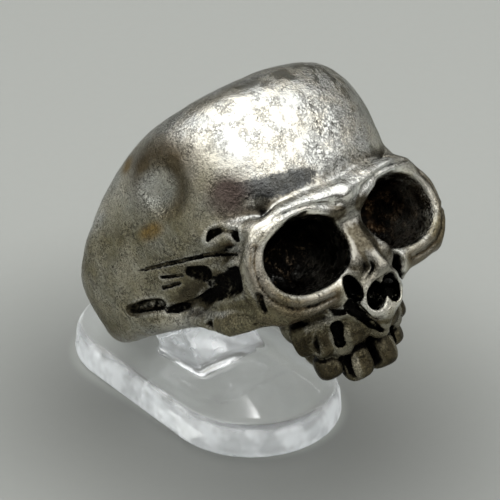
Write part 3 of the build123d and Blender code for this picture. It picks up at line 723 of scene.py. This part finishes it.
def worn_silver():
    """Cast silver, rubbed bright where fingers reach it, dull on the flanks, black in the recesses, with
    painted light and shade on the face, in the eye sockets and in the temple dent.
    """
    m = Finish("worn_silver")
    shelter, worn, soot, socket, inner, far_socket, wall = (
        m.read(n) for n in ("shelter", "worn", "soot", "socket", "inner", "far_socket", "wall"))
    tooth, flank, face, under, bridge, rim_shade, trough_reflection, grimy = (
        m.read(n) for n in ("tooth", "flank", "face", "under", "bridge", "valley", "trough", "grime"))
    dent, dent_edge, stain, tarnish, freckled = (
        m.read(n) for n in ("dent", "dent_edge", "stain", "tarnish", "freckled"))
    blotch, mottle, fine, grain = m.noise(3.2), m.noise(0.9), m.noise(0.16, 3.0, 0.6), m.noise(0.30, 4.0, 0.7)
    mottled, grained = mottle - 0.5, grain - 0.5

    # Film and soot gather where the surface is sheltered, and rubbing takes them off the edges. The film also
    # carries painted shade under the face and round the eye rim, and the painted dark reflection between the
    # eyes
    sheltered = shelter + mottled * 0.45 + grained * 0.45
    crevice = (sheltered + tooth * 0.10).over(0.42, 0.70) * (1 - inner)
    sooty = (soot + mottled * 1.8 + grained * 1.8).over(0.30, 0.90)
    pitch = (socket + mottled * 0.5 + grained * 0.4).over(0.15, 0.55)
    film_and_shade_level = sheltered + grimy * 0.3 + under * 0.22 + bridge * 0.4 + rim_shade * 0.3
    film_and_shade = (film_and_shade_level.over(0.06, 0.46) * (1 - worn.over(0.15, 0.5) * 0.7)).clipped()
    edge = (worn + grained * 0.4).over(0.14, 0.48)
    dull = (flank * 0.85 + (blotch - 0.5) * flank + film_and_shade * 0.35 + tooth * 0.5 - edge * 0.65).clipped()

    # Crackle: dark worm tracks, pits and low grains, in patches
    worms = 1 - abs(m.noise(0.50, 4.0, 0.62) - 0.5).over(0.010, 0.055)
    pits = 1 - m.spots(0.40).over(0.10, 0.25)
    low_grains = 1 - grain.over(0.38, 0.50)
    patches = m.noise(1.5).over(0.42, 0.60)
    crackled = (0.18 + patches * 0.45 + freckled * 0.45 + flank * 0.2 - face * 0.2).clipped()
    crackle = ((worms * 0.8 + pits * 0.8 + low_grains * 0.4) * crackled).clipped()

    # Tar in the recesses, with glints and browner on the far side, and grey on socket walls that face the
    # skull's right and as a painted highlight where the socket floor faces up; then the metal and what lies
    # on it
    glint = (grain * 0.6 + mottle * 0.4).over(0.54, 0.62) * inner
    tar = m.mix(glint * (0.25 + far_socket * 0.5), tar_black, tar_glint)
    tar = m.mix(far_socket * mottle.over(0.4, 0.7) * 0.5, tar, tar_brown)
    tar = m.mix(wall * (0.1 + grain), tar, tar_grey_and_highlight)
    bright = m.mix(m.noise(2.6, 2.0).over(0.35, 0.65), cold_silver, warm_silver)
    drab = m.mix(m.noise(1.9).over(0.35, 0.65), drab_yellow, drab_olive)
    ivory = m.mix(mottle.over(0.35, 0.65), tooth_dark, tooth_pale)
    colour = m.mix(dull, bright, drab)
    for share, paint in (
            # Film, with painted shade in brown under the face and round the eye rim
            (film_and_shade * 0.9, m.mix(under + rim_shade, film_grey, shade_brown)),
            # Painted shade on the temple dent's wall
            (dent_edge * (0.85 - dent) * (0.7 + blotch), dent_shade_brown),
            (tooth * (1 - film_and_shade) * (0.95 - edge * 0.45), ivory),
            # Painted dark reflection over the brow
            ((trough_reflection + grained * 2.0).over(0.15, 0.80) * 0.9, trough_reflection_grey),
            # Painted dark reflection between the eyes
            (bridge * (1.3 - edge * 0.75), m.mix(grain.over(0.4, 0.6), bridge_reflection_dark, bridge_reflection_pale)),
            # Painted shade round the eye rim
            (rim_shade * (1.0 - edge * 0.5), rim_shade_brown),
            (tarnish * (0.5 + blotch), tarnish_plum),
            # Painted highlight on the temple dent's floor
            (dent * 0.5, dent_highlight),
            (stain * (0.4 + blotch), stain_gold),
            (crackle * (1 - edge * 0.5), crackle_black),
            (crevice + sooty + pitch, tar)):
        colour = m.mix(share, colour, paint)
    rough = (0.17 + dull * 0.10 + mottled * 0.18 + crackle * 0.20 - edge * 0.03 - face * 0.03
             + bridge * 0.08).clipped()
    height = (grain * 0.7 + fine * 0.35 + mottle * 0.5) * (1 + flank * 0.5 - face * 0.6) - crackle * 0.6
    m.feed(Base_Color=colour, Metallic=1.0, Roughness=rough, Normal=m.bump(height, 0.085),
           Specular_Tint=(0.6, 0.6, 0.6, 1.0))
    return m.material


def clear_acrylic():
    """Clear moulded plastic, milky and uneven round the wall of the foot, with a painted glow there that
    stands in for the light the wall carries.
    """
    m = Finish("clear_acrylic")
    waves, ripples, wall = m.noise(2.6, 2.0, 0.5), m.noise(0.9, 2.0, 0.5), m.read("wall")
    height = (waves + ripples * 0.12) * (0.02 + wall * 0.98)
    m.feed(Base_Color=(0.975, 0.985, 0.985, 1.0), Roughness=0.07, IOR=1.49, Normal=m.bump(height, 0.10),
           Transmission_Weight=0.93)
    # Milky white with a painted glow, standing in for light carried through the wall
    glowing_milk = m.node("ShaderNodeBsdfPrincipled", {}, {
        "Base Color": (0.93, 0.95, 0.95, 1.0), "Roughness": 0.25,
        "Emission Color": (0.90, 0.96, 1.0, 1.0), "Emission Strength": 0.30})
    # Share of the milky white and its painted glow
    milky = wall * (0.26 + waves.over(0.38, 0.62) * 0.42)
    both = m.node("ShaderNodeMixShader", {}, {0: milky.clipped(), 2: glowing_milk})
    m.tree.links.new(m.shader.outputs[0], both.socket.node.inputs[1])
    m.tree.links.new(both.socket, m.tree.nodes["Material Output"].inputs["Surface"])
    return m.material


def pale_floor():
    """Pale board, with a shadow painted on it round the foot on the camera's side."""
    m = Finish("pale_floor")
    place = m.place()
    x, y = (m.node("ShaderNodeSeparateXYZ", {}, {0: place}, output=i) for i in (0, 1))

    def from_foot(aside, ahead):
        """Metres from the foot's outline, when that is moved aside and ahead by millimetres."""
        over = x - aside * MM
        along = (abs(y + ahead * MM) - (base_length - base_width) / 2 * MM).above(0.0)
        return (over * over + along * along) ** 0.5 - base_width / 2 * MM
    # A painted shadow, fading outward from the foot's outline moved aside and ahead, and stopping at the foot
    # itself
    painted_shadow, beyond_foot = from_foot(-3.0, 7.8).over(0.029, -0.004), from_foot(0.0, 0.0).over(-0.001, 0.0005)
    board = m.mix(m.noise(10 / 9, 3.0, 0.5) * 0.3, board_pale, board_grey)
    m.feed(Base_Color=m.mix(painted_shadow * beyond_foot * 0.44, board, black), Roughness=0.55)
    return m.material


# Lamps: name, watts, size and place in metres, turn in degrees
lamps = [
    ("overhead", 13.0, (2.45, 1.27), (0.182, -0.427, 0.60), (0, 0, -43.4)),
    ("window", 0.008, (0.012, 0.007), (0.342, 0.347, 0.339), (0, 55.9, 46.0)),
]
room_dark, room_pale = (0.095, 0.093, 0.083), (0.50, 0.51, 0.50)      # walls to the horizon, and overhead


def studio():
    """Floor, lamps and the room round them."""
    bpy.ops.mesh.primitive_plane_add(size=3.0)
    floor = bpy.context.object
    floor.name = "floor"
    floor.location.z = -0.0002          # just clear of the foot
    floor.data.materials.append(pale_floor())
    for name, watts, size, place, turn in lamps:
        light = bpy.data.lights.new(name, "AREA")
        light.energy, light.shape, light.size, light.size_y = watts, "RECTANGLE", *size
        obj = bpy.data.objects.new(name, light)
        obj.location = place
        obj.rotation_euler = [math.radians(a) for a in turn]
        bpy.context.scene.collection.objects.link(obj)
    world = bpy.data.worlds.new("room")
    world.use_nodes = True
    room = Finish("room", world.node_tree)
    height = room.node("ShaderNodeSeparateXYZ", {}, {0: room.node("ShaderNodeTexCoord")}, output=2)
    sky = room.mix(height.over(0.70, 0.95), room_dark, room_pale)
    room.tree.links.new(sky.socket, world.node_tree.nodes["Background"].inputs["Color"])
    bpy.context.scene.world = world
    bpy.context.scene.view_settings.view_transform = "Standard"


def photo_camera():
    """Camera at the photo's angle: its three axes, the point that it looks at and how far off that is."""
    ahead, right = Vector((0.5950, 0.6292, -0.5)), Vector((0.7266, -0.6871, 0.0))
    up = Vector((0.3435, 0.3633, 0.8660))
    looked_at, distance = Vector((2.737, -3.204, 13.83)), 200
    camera = bpy.data.cameras.new("camera")
    camera.lens, camera.sensor_width, camera.clip_start = 158.4, 36.0, 0.01
    obj = bpy.data.objects.new("camera", camera)
    turn = Matrix((right, up, -ahead)).transposed().to_4x4()
    obj.matrix_world = Matrix.Translation((looked_at - distance * ahead) * MM) @ turn
    bpy.context.scene.collection.objects.link(obj)
    bpy.context.scene.camera = obj


photo_camera()
studio()
ring, stand = cast_ring(), clear_stand()
ring.data.materials.append(worn_silver())
stand.data.materials.append(clear_acrylic())
